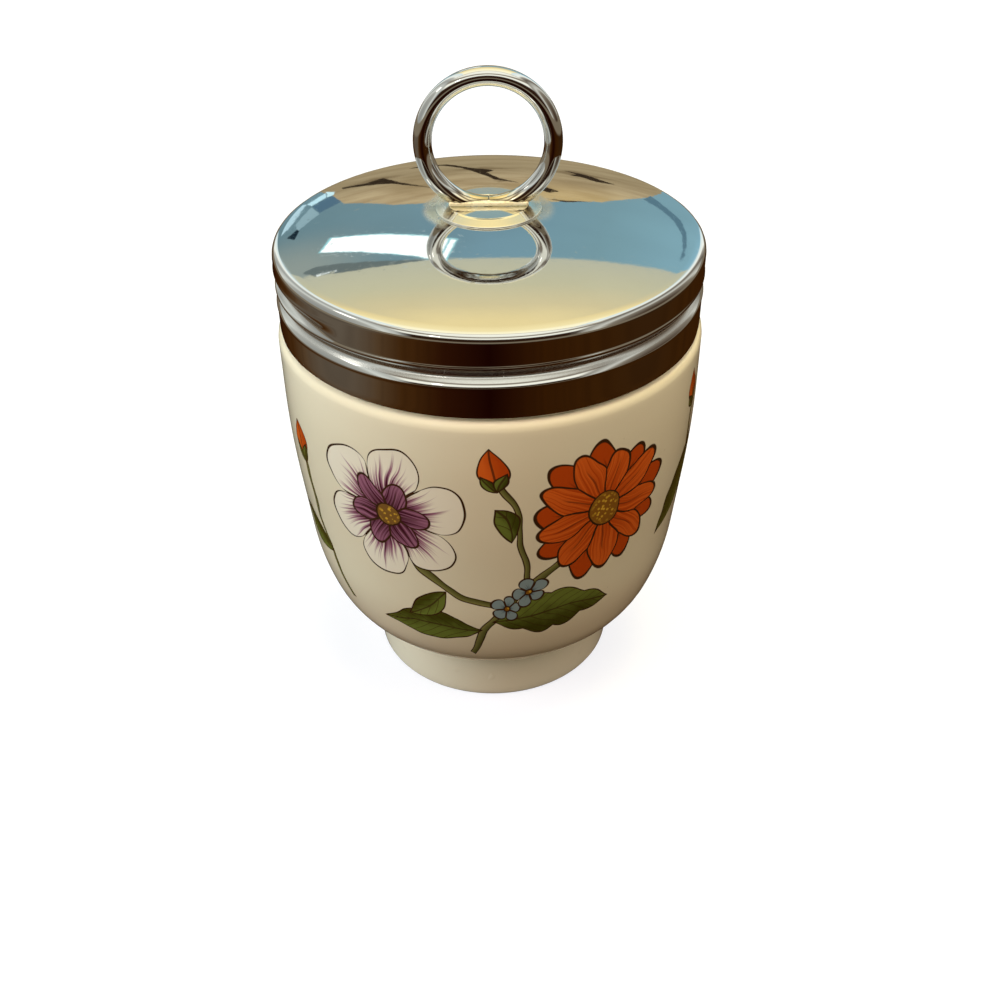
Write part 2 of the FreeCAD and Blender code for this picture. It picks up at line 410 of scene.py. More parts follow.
class Print:
    """A colour print on the glaze, laid over the cup's ground one motif at a time."""

    def __init__(self, mix, around, height, ground, line_colour, wash, grains):
        self.mix = mix
        self.around = around
        self.height = height
        self.ink = ground
        self.line_colour = line_colour
        self.wash = wash
        self.grains = grains
        self.cover = None

    def local(self, spot, heading):
        """Millimetres along and across a direction, from a spot on the cup."""
        mix = self.mix
        cos, sin = math.cos(math.radians(heading)), math.sin(math.radians(heading))
        u, v = spot
        along = mix.maths("MULTIPLY_ADD", self.height, sin, -u * cos - v * sin)
        along = mix.maths("MULTIPLY_ADD", self.around, cos, along)
        across = mix.maths("MULTIPLY_ADD", self.height, cos, u * sin - v * cos)
        across = mix.maths("MULTIPLY_ADD", self.around, -sin, across)
        return along, across

    def lay(self, inside, fill, line=LINE):
        """Lays one motif. Inside is its distance from its own edge, in millimetres."""
        mix = self.mix
        mask = mix.ease(inside, -EDGE_SOFTNESS, 0.0)
        body = mix.ease(inside, line - EDGE_SOFTNESS, line)
        self.ink = mix.blend(mask, self.ink, mix.blend(body, self.line_colour, fill))
        self.cover = mix.larger(self.cover, mask) if self.cover else mask

    def arched(self, start, heading, length, sag):
        """Place along a shape that arches by sag, and sideways from its middle line."""
        along, across = self.local(start, heading)
        share = along / length
        lean = across - share * (1 - share) * (4 * sag)
        ends = self.mix.smaller(along, length - along)
        return along, share, lean, ends

    def stalk(self, start, end, sag, width, ink):
        """A bent stem from one spot to another."""
        mix = self.mix
        run = Vector(end) - Vector(start)
        heading = math.degrees(math.atan2(run.y, run.x))
        _, _, lean, ends = self.arched(start, heading, run.length, sag)
        half = width / 2
        fill = mix.blend(mix.ease(lean, -half, half), *ink)
        self.lay(mix.smaller(half - abs(lean), ends), fill, LINE * 0.75)

    def blade(self, spot, heading, length, half_width, curve, ink, lobes=0, veined=True):
        """A leaf, a sepal or a bud, with its midrib and side veins."""
        mix = self.mix
        along, share, lean, ends = self.arched(spot, heading, length, curve)
        side = abs(lean)
        swell = mix.maths("SINE", share * math.pi)
        if lobes:
            swell = swell * (0.78 + 0.22 * abs(mix.maths("SINE", share * (lobes * math.pi))))
        else:
            swell = swell * (1.15 - share * 0.3)
        inside = mix.smaller(swell * half_width - side, ends * 3.0)
        edge = half_width * 0.6
        lit = mix.ease(lean + (self.wash - 0.5) * half_width, -edge, edge)
        fill = mix.blend(lit, *ink)
        rib = mix.ease(side, 0.17, 0.1)
        if veined:
            sweep = mix.maths("FRACT", (along - side * 1.5) / 2.1)
            rib = mix.larger(rib, mix.ease(abs(sweep - 0.5), 0.43, 0.47) * 0.8)
        fill = mix.blend(rib * 0.8, fill, self.line_colour)
        self.lay(inside, fill)

    def petal_cells(self, spot, turned, count):
        """Parts the plane about a spot into petals: reach, bearing, place in the petal, chance."""
        mix = self.mix
        p, q = self.local(spot, turned)
        reach = mix.reach(p, q)
        bearing = mix.maths("ARCTAN2", q, p) * (count / TAU)
        petal = mix.maths("ROUND", bearing)
        lean = bearing - petal
        wrapped = mix.maths("FLOORED_MODULO", petal + (count + 0.25), float(count))
        made = mix.node("TexWhiteNoise", {"noise_dimensions": "1D"}, {"W": wrapped + spot[0]})
        return reach, bearing, lean, Value(mix, made.outputs["Value"])

    def strokes(self, value):
        """Brush strokes: noise along one number."""
        sockets = {"W": value, "Scale": 1.0, "Detail": 2.0, "Roughness": 0.65}
        made = self.mix.node("TexNoise", {"noise_dimensions": "1D"}, sockets)
        return Value(self.mix, made.outputs[0])

    def long_petals(self, spot, turned, count, length, half_width, ink):
        """A ring of slender petals with a streaked wash and a dark crease."""
        mix = self.mix
        reach, bearing, lean, chance = self.petal_cells(spot, turned, count)
        off = lean * (TAU / count)
        along = reach * mix.maths("COSINE", off)
        across = reach * mix.maths("SINE", off)
        middle = (along / (0.88 + chance * 0.24) - length * 0.54) / (length * 0.46)
        side = across / half_width
        own_edge = (1 - mix.reach(middle, side)) * half_width
        cell_edge = (0.52 - abs(lean)) * reach * (TAU / count)
        streak = self.strokes(across * 2.2 + along * 0.15 + chance * 40)
        wet = mix.ease(streak + reach / length * 0.35, 0.5, 0.9)
        fill = mix.blend(wet, *ink)
        crease = mix.ease(abs(across), 0.15, 0.09)
        crease = crease * mix.ease(along, length * 0.8, length * 0.6)
        fill = mix.blend(crease * 0.55, fill, self.line_colour)
        self.lay(mix.smaller(own_edge, cell_edge), fill)

    def round_petals(self, spot, turned, count, length, valley, inks, flush_reach):
        """A ring of broad petals. The flush runs out from the heart in fine brushed strokes."""
        colour, flush, deep = inks
        mix = self.mix
        reach, bearing, lean, chance = self.petal_cells(spot, turned, count)
        part = lean * 2
        arch = mix.maths("SQRT", mix.larger(1.02 - part * part, 0.0))
        full = (valley + (1 - valley) * arch) * (0.9 + chance * 0.2) * length
        cell_edge = (0.5 - abs(lean)) * reach * (TAU / count) + 0.04
        brushed = reach / length - flush_reach + (self.strokes(bearing * 14.0) - 0.5) * 0.9
        brushed = brushed + abs(lean) * 0.3
        fill = mix.blend(mix.ease(brushed, 0.14, -0.14), colour, flush)
        fill = mix.blend(mix.ease(brushed, -0.08, -0.3), fill, deep)
        self.lay(mix.smaller((full - reach) * 0.8, cell_edge), fill)

    def heart(self, spot, radius, colour, shade):
        """The seed head: a small disc of packed florets."""
        mix = self.mix
        reach = mix.reach(*self.local(spot, 0))
        packed = mix.larger(self.grains, mix.ease(reach, radius * 0.5, radius)) * 0.75
        self.lay(radius - reach, mix.blend(packed, colour, shade))


def print_spray(sheet, colours):
    """One spray of flowers round half of the cup, with a bud on either side of it."""
    leaf, stem, orange = (
        (colours[name + "_shade"], colours[name]) for name in ("leaf", "stem", "orange")
    )
    for start, end, sag, width in (
        ((-4.0, 16.5), (15.0, 39.0), 3.2, 1.3),
        ((1.7, 28.4), (-14.0, 39.5), 2.4, 1.2),
        ((5.0, 32.2), (0.4, 52.0), -1.4, 0.95),
        ((-27.0, 21.0), (-33.5, 46.0), 1.2, 0.95),
        ((41.5, 26.0), (38.4, 52.0), 1.4, 0.95),
    ):
        sheet.stalk(start, end, sag, width, stem)
    for spot, heading, length, half_width, curve, lobes in (
        ((-0.4, 24.9), 3, 20.0, 4.4, 1.2, 4),
        ((-1.6, 23.0), 184, 17.5, 3.5, -1.0, 0),
        ((-7.6, 31.2), 226, 9.5, 2.2, 0.6, 0),
        ((2.9, 41.5), 118, 6.4, 1.7, -0.5, 0),
        ((-29.8, 29.6), 152, 10.5, 2.5, 0.8, 0),
        ((39.9, 46.5), 235, 17.5, 3.2, 1.4, 0),
    ):
        sheet.blade(spot, heading, length, half_width, curve, leaf, lobes)
    for u, v, heading in ((0.4, 50.8, 95), (-33.4, 45.2, 106), (38.4, 51.2, 97)):
        sheet.blade((u, v), heading, 6.6, 2.1, 0.0, orange, veined=False)
        for spread in (28, -28):
            sheet.blade((u, v - 0.4), heading + spread, 3.6, 0.9, 0.2, leaf, veined=False)
    white_bloom, orange_bloom = (-15.5, 43.8), (16.5, 44.2)
    orange_shade, orange_deep = colours["orange_shade"], colours["orange_deep"]
    plum, plum_deep, pollen = colours["plum"], colours["plum_deep"], colours["pollen"]
    sheet.round_petals(white_bloom, 20, 6, 12.2, 0.55, (colours["white"], plum, plum_deep), 0.62)
    sheet.long_petals(white_bloom, 5, 6, 6.6, 1.9, (plum_deep, plum))
    sheet.heart(white_bloom, 1.9, pollen, plum_deep)
    sheet.long_petals(orange_bloom, 14, 9, 11.4, 2.5, (orange_shade, orange_shade))
    sheet.long_petals(orange_bloom, 34, 9, 10.6, 2.4, orange)
    sheet.heart(orange_bloom, 2.9, pollen, orange_deep)
    blue = (colours["blue"], colours["blue_shade"], colours["blue_deep"])
    for spot, spin in (((2.0, 28.2), 10), ((5.6, 31.2), 40)):
        sheet.round_petals(spot, spin, 5, 2.9, 0.5, blue, 0.34)
        sheet.heart(spot, 0.6, pollen, orange_deep)


def porcelain(settings):
    """Cream glaze with the printed sprays. The bearing face under the foot is bare and matt."""
    material, mix = new_mixture("painted_porcelain")
    place = mix.in_millimetres()
    x, y, z = mix.parts(place)
    # Painted shade: from 30 mm down to the foot the glaze turns warmer and darker, standing in for
    # shade and warm bounce light from a table. The same colour also mottles the glaze at random.
    shade_and_mottle_glaze = settings.shade_and_mottle_colour
    low = mix.ease(z, 30.0, 8.0) * mix.ease(z, FOOT_HEIGHT - 0.6, FOOT_HEIGHT + 0.4)
    ground = mix.blend(low * settings.painted_low_shade, settings.glaze_colour, shade_and_mottle_glaze)
    mottle = mix.ease(mix.noise(place, 0.09, 3.0), 0.3, 0.8)
    ground = mix.blend(mottle * 0.1, ground, shade_and_mottle_glaze)
    # Painted shade, blotched like grime, in the concave corner between the bowl and the foot.
    corner_shade_and_grime = mix.ease(abs(z - (FOOT_HEIGHT + 0.3)), 0.7, 0.1) * mottle
    ground = mix.paint(ground, corner_shade_and_grime * 0.5, 118, 88, 62)
    # Painted light: the glaze grows paler from 50 mm up to the shoulder, standing in for light
    # from above.
    painted_top_light = mix.ease(z, 50.0, 59.5)
    pale_foot = mix.ease(z, FOOT_HEIGHT, FOOT_HEIGHT - 1)
    ground = mix.paint(ground, pale_foot * 0.4, 250, 245, 224)
    ground = mix.paint(ground, painted_top_light * 0.45, 252, 244, 214)
    specks = mix.ease(mix.noise(place, 1.3, 1.0), 0.8, 0.86)
    ground = mix.paint(ground, specks * 0.35, 150, 125, 95)

    warp = mix.node("TexNoise", sockets={"Vector": place, "Scale": 0.15, "Detail": 1.0})
    sway_x, sway_y, _ = mix.parts(warp.outputs["Color"])
    wash = mix.noise(place, 0.45, 3.0)
    cells = mix.node("TexVoronoi", sockets={"Vector": place, "Scale": 1.6})
    grains = mix.ease(Value(mix, cells.outputs["Distance"]), 0.3, 0.42)
    wobble = settings.hand_wobble
    height = z + (sway_y - 0.5) * wobble
    around = mix.maths("ARCTAN2", x, abs(y)) * BELLY_RADIUS + (sway_x - 0.5) * wobble
    sheet = Print(mix, around, height, ground, settings.line_colour, wash, grains)
    print_spray(sheet, {
        "leaf": settings.leaf_colour, "leaf_shade": tint(64, 66, 16),
        "stem": tint(128, 124, 70), "stem_shade": tint(82, 84, 38),
        "orange": settings.orange_colour, "orange_shade": tint(184, 70, 16),
        "orange_deep": tint(96, 34, 12), "white": tint(236, 228, 206),
        "plum": settings.plum_colour, "plum_deep": tint(62, 14, 32),
        "blue": tint(132, 150, 152), "blue_shade": tint(82, 100, 108),
        "blue_deep": tint(44, 56, 66), "pollen": tint(206, 160, 52),
    })
    outward = mix.node("NewGeometry").outputs["Normal"]
    dot = {"operation": "DOT_PRODUCT"}
    across = mix.node("VectorMath", dot, {0: outward, 1: mix.vector(x, y)})
    outside = Value(mix, across.outputs["Value"]) > 3.0
    printed = sheet.cover * outside
    colour = mix.blend(outside, ground, sheet.ink)

    bare = mix.ease(z, 0.16, 0.06)
    grit = mix.noise(place, 3.0, 3.0)
    colour = mix.paint(colour, bare * (0.6 + grit * 0.4), 188, 172, 146)
    waves = mix.noise(place, 0.11, 2.0)
    wear = mix.noise(place, 0.5, 4.0, 0.6)
    roughness = 0.035 + mix.ease(wear, 0.45, 0.8) * 0.06 + printed * 0.05 + bare * 0.5
    drops = mix.ease(mix.noise(place, 0.34, 1.0), 0.66, 0.8)
    drops = drops * mix.ease(z, FOOT_HEIGHT, FOOT_HEIGHT - 1)
    relief = mix.bump(waves * 0.05 + drops * 0.05 + bare * grit * 0.05)
    mix.surface(base_color=colour, roughness=roughness, normal=relief)
    return material


# ---- metals

def plated_metal(name, plate, polish):
    """Bright plate with wiping scratches, water spots and a bloom where it was brazed."""
    material, mix = new_mixture(name)
    place = mix.in_millimetres()
    x, y, z = mix.parts(place)
    radius = mix.reach(x, y)
    blotch = mix.noise(place, 0.12, 4.0, 0.55)
    fine = mix.noise(place, 2.2, 3.0, 0.6)
    near = mix.ease(radius, 9.8, 8.3) * mix.ease(abs(x), 5.2, 7.4)
    near = near * mix.ease(z, 80.2, 79.0)
    haze = near * mix.ease(fine * 0.25 + blotch, 0.44, 0.74) * (z > 75.0)
    haze = haze * (0.85 - x * 0.035)
    wiping = None
    for turned, stretched, least in (
        ((0.4, 0.3, 0.6), (0.5, 9.0, 2.0), 0.66), ((0.1, 0.7, -0.9), (8.0, 0.6, 2.0), 0.68),
    ):
        swirl = mix.node("Mapping", sockets={0: place, 2: turned, 3: stretched}).outputs[0]
        wipe = mix.ease(mix.noise(swirl, 1.0, 2.0), least, least + 0.08)
        wiping = mix.larger(wiping, wipe) if wiping else wipe
    spots = mix.ease(mix.noise(place, 0.9, 0.0), 0.8, 0.84)
    colour = mix.paint(plate, haze * 0.8, 154, 168, 156)
    colour = mix.paint(colour, mix.ease(blotch, 0.35, 0.75) * 0.1, 196, 192, 178)
    above_collar = z > COLLAR_TOP + 0.05
    joint = mix.ease(z, FOOT_BAR_TOP + 0.25, FOOT_BAR_TOP) * above_collar
    flowed = mix.ease(z, 80.6, 79.1) * above_collar
    colour = mix.paint(colour, flowed * 0.7, 238, 214, 156)
    seam = mix.ease(abs(x), 0.1, 0.04) * above_collar * (RING_CENTRE.z - z > 0.0)
    colour = mix.paint(colour, mix.larger(joint * 0.5, seam * 0.85), 58, 46, 30)
    inside = mix.ease(CAP_RADIUS - SHEET * 0.6 - radius, 0.0, 0.1) * mix.ease(z, 73.0, 72.6)
    dulled = mix.ease(blotch, 0.4, 0.8) * 0.015 + wiping * 0.03 + haze * 0.34
    dulled = dulled + spots * 0.1 + inside * 0.2
    relief = mix.bump(blotch * 0.012 + wiping * 0.0004 + haze * fine * 0.008)
    mix.surface(
        base_color=colour, metallic=1 - haze * 0.6, roughness=dulled + polish, normal=relief
    )
    return material


def brazed_metal():
    """The plate over the rough brazing under the ring: golden, with a few pits."""
    material, mix = new_mixture("brazed_plate")
    place = mix.in_millimetres()
    lumps = mix.noise(place, 0.8, 2.0, 0.5)
    pits = mix.ease(mix.noise(place, 2.4, 2.0, 0.6), 0.66, 0.74)
    gold = mix.ease(lumps, 0.35, 0.7)
    colour = mix.blend(gold, tint(254, 240, 194), tint(255, 249, 218))
    colour = mix.paint(colour, pits * 0.8, 96, 76, 46)
    roughness = 0.24 + mix.ease(lumps, 0.4, 0.7) * 0.12 + pits * 0.2
    relief = mix.bump(lumps * 0.05 - pits * 0.01)
    mix.surface(base_color=colour, metallic=0.15, roughness=roughness, normal=relief)
    return material


def rivet_metal():
    """Plain drawn metal, brushed round its axis."""
    material, mix = new_mixture("rivet_drawn")
    place = mix.in_millimetres()
    x, y, z = mix.parts(place)
    rings = mix.noise(mix.vector(mix.reach(x, y) * 9.0, z * 9.0), 1.0, 2.0)
    stain = mix.noise(place, 0.9, 4.0, 0.6)
    dark = mix.ease(stain, 0.4, 0.75) * 0.6
    colour = mix.blend(dark, tint(176, 172, 162), tint(126, 116, 98))
    roughness = 0.28 + rings * 0.15 + mix.ease(stain, 0.5, 0.8) * 0.15
    relief = mix.bump(rings, 0.02)
    mix.surface(base_color=colour, metallic=1.0, roughness=roughness, normal=relief)
    return material


# ---- settings

def colour_setting(name, description, *levels):
    return bpy.props.FloatVectorProperty(
        name=name, description=description, subtype="COLOR", size=3, min=0, max=1,
        default=tint(*levels),
    )


def share_setting(name, description, default):
    return bpy.props.FloatProperty(
        name=name, description=description, subtype="FACTOR", min=0, max=1, default=default
    )


def length_setting(name, description, least, most, default):
    """A length in metres."""
    return bpy.props.FloatProperty(
        name=name, description=description, unit="LENGTH", subtype="DISTANCE", min=least,
        max=most, default=default,
    )


def strength_setting(name, description, default):
    return bpy.props.FloatProperty(name=name, description=description, min=0, default=default)


class CoddlerCupSettings(bpy.types.PropertyGroup):
    glaze_colour: colour_setting("Glaze", "Colour of the cream glaze", 226, 217, 188)
    # Colour of the painted warm shade low on the bowl, also used for the glaze's random mottle.
    shade_and_mottle_colour: colour_setting("Low glaze", "Warmer glaze low on the bowl", 224, 192, 160)
    # Share of the painted warm shade low on the bowl.
    painted_low_shade: share_setting("Low warmth", "How far the bowl takes the warmer colour", 0.45)
    orange_colour: colour_setting("Orange", "Colour of the orange petals", 216, 98, 32)
    plum_colour: colour_setting("Plum", "Colour brushed on the white petals", 150, 96, 118)
    leaf_colour: colour_setting("Leaf", "Colour of the leaves", 106, 118, 48)
    line_colour: colour_setting("Line", "Colour of the drawn lines", 58, 34, 16)
    hand_wobble: strength_setting("Hand wobble", "Millimetres the drawn shapes stray by", 2.4)
    ridge_height: length_setting(
        "Ridge height", "Height of the screw ridge on the neck", 0, 0.0011, 0.00105
    )


class CoddlerLidSettings(bpy.types.PropertyGroup):
    plate_colour: colour_setting("Plate", "Colour of the bright plate", 222, 222, 219)
    collar_colour: colour_setting("Collar", "Colour of the plate on the collar", 250, 246, 232)
    polish: share_setting("Polish", "Roughness of the clean plate", 0.03)
    groove_depth: length_setting(
        "Groove depth", "Depth of the thread rolled into the skirt", 0, 0.0009, 0.00085
    )
    groove_half_width: length_setting(
        "Groove half width", "From the groove's bottom to where it meets the skirt", 0.0005,
        0.0013, 0.0013,
    )


class CoddlerHandleSettings(bpy.types.PropertyGroup):
    ring_thickness: length_setting(
        "Ring thickness", "Across the ring's wire in the ring's plane", 0.001, 0.0026, 0.00259
    )
    ring_depth: length_setting(
        "Ring depth", "Across the ring's wire, front to back", 0.001, 0.003, 0.003
    )


class CoddlerStageSettings(bpy.types.PropertyGroup):
    floor_colour: colour_setting("Floor", "Colour of the floor", 246, 246, 246)
    lamp_strength: strength_setting("Lamps", "Multiplies the power of all lamps", 1.0)
    fill_strength: strength_setting("Fill", "Strength of the light from all round", 0.3)
    mirror_strength: strength_setting(
        "Mirrored room", "Brightness of the room that the polished metal shows", 1.37
    )


# ---- pieces

class CODDLER_OT_cup(bpy.types.Operator):
    """Turn the porcelain cup, raise its screw ridge and glaze it"""

    bl_idname = "coddler.cup"
    bl_label = "Porcelain Cup"

    def execute(self, context):
        settings = context.scene.coddler_cup
        bm = bmesh.new()
        lay_outline(bm, CUP_OUTLINE, CUP_PACE)
        crowd_outline(bm, SHOULDER_HEIGHT, LIP_HEIGHT, RIDGE_PACE, NECK_RADIUS - 0.1)
        turn(bm, CUP_STEPS)
        press_thread(
            bm, NECK_RADIUS - 0.01, SHOULDER_HEIGHT, LIP_HEIGHT - 1, settings.ridge_height / MM,
            RIDGE_RUN, RIDGE_HALF_WIDTH, PITCH / 2,
        )
        glaze = porcelain(settings)
        finish_piece("porcelain_cup_glazed", bm, "cup", "porcelain_cup", glaze)
        return {"FINISHED"}


class CODDLER_OT_lid(bpy.types.Operator):
    """Press the lid's dome and skirt from sheet and roll the thread groove into it"""

    bl_idname = "coddler.lid"
    bl_label = "Screw Lid"

    def execute(self, context):
        settings = context.scene.coddler_lid
        slope = (CAP_TOP - RIM_CORNER_HEIGHT) / (CAP_RADIUS - DOME_CORNER_RADIUS)
        inner_radius = CAP_RADIUS - SHEET
        under_top = CAP_TOP - SHEET * math.hypot(1, slope)
        under_dome = under_top - (inner_radius - DOME_CORNER_RADIUS) * slope
        bm = bmesh.new()
        lay_outline(bm, [
            (RIVET_HOLE_RADIUS, CAP_TOP, 0),
            (DOME_CORNER_RADIUS, CAP_TOP, DOME_ROUNDING),
            (CAP_RADIUS, RIM_CORNER_HEIGHT, RIM_ROUNDING),
            (CAP_RADIUS, SKIRT_BOTTOM, CUT_EDGE_ROUNDING),
            (inner_radius, SKIRT_BOTTOM, CUT_EDGE_ROUNDING),
            (inner_radius, under_dome, RIM_ROUNDING - SHEET),
            (DOME_CORNER_RADIUS, CAP_TOP - SHEET, DOME_ROUNDING - SHEET),
            (RIVET_HOLE_RADIUS, CAP_TOP - SHEET, 0),
        ], LID_PACE, closed=True)
        skirt = (inner_radius - 0.1, RIM_CORNER_HEIGHT - 1)
        crowd_outline(bm, SKIRT_BOTTOM + 1, skirt[1], GROOVE_PACE, skirt[0])
        turn(bm, LID_STEPS)
        press_thread(
            bm, skirt[0], 0, skirt[1], -settings.groove_depth / MM,
            GROOVE_RUN, settings.groove_half_width / MM, 0, BEAD_SHARE,
        )
        metal = plated_metal("cap_plate", settings.plate_colour, settings.polish)
        finish_piece("lid_shell_plated", bm, "lid", "lid_shell", metal)
        return {"FINISHED"}


class CODDLER_OT_collar(bpy.types.Operator):
    """Turn the collar under the ring handle"""

    bl_idname = "coddler.collar"
    bl_label = "Handle Collar"

    def execute(self, context):
        settings = context.scene.coddler_lid
        bm = bmesh.new()
        lay_outline(bm, COLLAR_OUTLINE, COLLAR_PACE, closed=True)
        turn(bm, COLLAR_STEPS)
        metal = plated_metal("collar_plate", settings.collar_colour, settings.polish * 4)
        finish_piece("handle_collar_plated", bm, "lid", "handle_collar", metal)
        return {"FINISHED"}


class CODDLER_OT_ring(bpy.types.Operator):
    """Bend the wire ring, butt its ends together and braze it to its foot bar"""

    bl_idname = "coddler.ring"
    bl_label = "Ring Handle"

    def execute(self, context):
        settings = context.scene.coddler_handle
        lid = context.scene.coddler_lid
        bm = bmesh.new()
        section = bmesh.ops.create_circle(bm, segments=RING_SIDES, radius=1.0)["verts"]
        halves = (settings.ring_thickness / MM / 2, settings.ring_depth / MM / 2, 1)
        bmesh.ops.scale(bm, vec=halves, verts=section)
        bmesh.ops.translate(bm, vec=RING_CENTRE + Vector((RING_RADIUS, 0, 0)), verts=section)
        turn(bm, RING_STEPS, RING_CENTRE, (0, 1, 0))
        for place in JOINT_CUTS:
            low = [f for f in bm.faces if f.calc_center_median().z < RING_CENTRE.z]
            around = {e for f in low for e in f.edges} | {v for f in low for v in f.verts}
            cut(bm, (place, 0, 0), (1, 0, 0), [*low, *around])
        for vert in bm.verts:
            if vert.co.z < RING_CENTRE.z and abs(vert.co.x) < JOINT_REACH:
                spoke = Vector((vert.co.x, 0, vert.co.z - RING_CENTRE.z))
                core = RING_CENTRE + spoke.normalized() * RING_RADIUS
                nip = JOINT_DEPTH * math.exp(-((vert.co.x / JOINT_WIDTH) ** 2))
                vert.co = vert.co.lerp(core, nip)
        cut(bm, (0, 0, COLLAR_TOP), (0, 0, 1), clear_inner=True)
        bmesh.ops.holes_fill(bm, edges=[e for e in bm.edges if e.is_boundary], sides=0)
        face_outwards(bm)
        metal = plated_metal("ring_plate", lid.plate_colour, lid.polish)
        finish_piece("ring_handle_wire", bm, "lid", "ring_handle", metal)

        bm = bmesh.new()
        bar = bmesh.ops.create_cube(bm, size=1.0)["verts"]
        height = FOOT_BAR_TOP - COLLAR_TOP + 0.02
        bmesh.ops.scale(bm, vec=(FOOT_BAR_LENGTH, FOOT_BAR_WIDTH, height), verts=bar)
        middle = (FOOT_BAR_TOP + COLLAR_TOP) / 2 - 0.03
        bmesh.ops.translate(bm, vec=(0, 0, middle), verts=bar)
        bmesh.ops.bevel(
            bm, geom=bm.edges[:], offset=FOOT_BAR_ROUNDING, offset_type="OFFSET", segments=4,
            profile=0.5, affect="EDGES", material=-1,
        )
        for axis, low, high, pace in BRAZING_CUTS:
            count = round((high - low) / pace)
            normal = Vector((axis == 0, axis == 1, axis == 2))
            for index in range(count + 1):
                cut(bm, normal * (low + (high - low) * index / count), normal)
        for vert in bm.verts:
            lump = noise.noise(vert.co * 0.7) * 0.07 + noise.noise(vert.co * 1.9) * 0.02
            if vert.co.z > COLLAR_TOP + 0.3:
                vert.co.z = min(vert.co.z + lump - 0.07, FOOT_BAR_TOP)
            bulge = lump * 0.8 * (1 if vert.co.y > 0 else -1)
            vert.co.y += bulge - 0.04 * math.copysign(1, vert.co.y)
            vert.co.z = max(vert.co.z, COLLAR_TOP)
        face_outwards(bm)
        finish_piece("ring_foot_brazed", bm, "lid", "ring_handle", brazed_metal())
        return {"FINISHED"}


class CODDLER_OT_rivet(bpy.types.Operator):
    """Finish the rivet through the lid"""

    bl_idname = "coddler.rivet"
    bl_label = "Rivet"

    def execute(self, context):
        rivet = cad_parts["handle_rivet"]
        rivet.data.materials.clear()
        rivet.data.materials.append(rivet_metal())
        return {"FINISHED"}


# ---- stage

# Colours of the mirrored room by direction: a place on the ramp, and levels of red, green, blue.
WALL_STOPS = (
    (0.05, 98, 126, 134), (0.35, 109, 140, 151), (0.5, 114, 150, 166), (0.7, 116, 152, 164),
    (0.86, 128, 169, 184), (0.96, 140, 188, 210),
)
CEILING_STOPS = (
    (0.62, 180, 182, 164), (0.72, 193, 190, 160), (0.78, 209, 197, 156), (0.82, 231, 213, 158),
    (0.87, 242, 226, 172), (0.93, 246, 232, 182), (1.0, 255, 248, 212),
)
FRONT_STOPS = (
    (0.0, 40, 20, 8), (0.4, 46, 32, 22), (0.46, 190, 188, 178), (0.52, 246, 246, 236),
    (0.64, 238, 238, 226), (0.69, 128, 120, 110), (0.77, 140, 132, 120), (0.83, 236, 236, 224),
    (1.0, 248, 248, 236),
)
SIDE_STOPS = (
    (0.42, 206, 226, 232), (0.54, 240, 242, 234), (0.58, 156, 152, 144), (0.66, 98, 90, 80),
    (0.72, 156, 154, 146), (0.8, 196, 196, 188), (0.86, 128, 120, 108), (1.0, 64, 48, 36),
)
TABLE_STOPS = (
    (0.06, 92, 82, 70), (0.12, 78, 58, 38), (0.18, 64, 38, 14), (0.32, 41, 16, 4),
    (0.5, 23, 3, 1), (0.6, 38, 15, 3), (0.7, 49, 24, 4), (0.89, 53, 29, 7),
    (1.0, 48, 30, 14),
)

# What stands behind the lid, for the polished dome to show: name, colour, strength as a share of
# the mirrored room's, and corners (x / y, z / y) seen from the lid.
MIRRORED_SHAPES = (
    ("window_rim", (150, 214, 222), 1.0,
     ((-0.393, 0.56), (-0.335, 0.473), (-0.069, 0.645), (-0.113, 0.837))),
    ("window", (250, 255, 255), 1.2,
     ((-0.387, 0.562), (-0.333, 0.481), (-0.074, 0.652), (-0.116, 0.826))),
    ("window_bar", (128, 196, 208), 1.0,
     ((-0.091, 0.641), (-0.085, 0.645), (-0.127, 0.818), (-0.133, 0.813))),
    ("side_pane", (188, 226, 238), 1.0,
     ((-0.289, 0.14), (-0.244, 0.078), (-0.254, 0.122), (-0.289, 0.162))),
    ("pane_end", (196, 232, 240), 1.0,
     ((-0.24, 0.066), (-0.232, 0.086), (-0.24, 0.118), (-0.252, 0.122))),
    ("blind", (78, 108, 128), 1.0,
     ((-0.29, 0.17), (-0.243, 0.12), (-0.246, 0.204), (-0.297, 0.248))),
    ("pale_pane", (138, 168, 178), 1.0,
     ((-0.353, 0.277), (-0.293, 0.172), (-0.299, 0.256), (-0.367, 0.332))),
    ("dark_frame", (24, 40, 50), 1.0,
     ((-0.396, 0.362), (-0.362, 0.316), (-0.366, 0.34), (-0.393, 0.392))),
    ("outer_pane", (176, 208, 220), 1.0,
     ((-0.42, 0.3), (-0.3, 0.1), (-0.288, 0.136), (-0.372, 0.3))),
    ("lamp_shade", (100, 112, 112), 1.0,
     ((-0.467, 0.668), (-0.432, 0.655), (-0.357, 0.7), (-0.251, 0.765), (-0.15, 0.805),
      (-0.256, 0.8), (-0.375, 0.776), (-0.458, 0.73))),
    ("lamp_glint", (226, 236, 236), 1.0,
     ((-0.456, 0.72), (-0.398, 0.732), (-0.398, 0.744), (-0.455, 0.734))),
    ("door_edge", (84, 116, 132), 1.0,
     ((0.257, 0.197), (0.258, 0.142), (0.3, 0.206), (0.349, 0.276), (0.389, 0.359),
      (0.424, 0.459), (0.445, 0.536), (0.457, 0.607), (0.433, 0.51), (0.391, 0.39),
      (0.342, 0.299), (0.295, 0.236))),
)
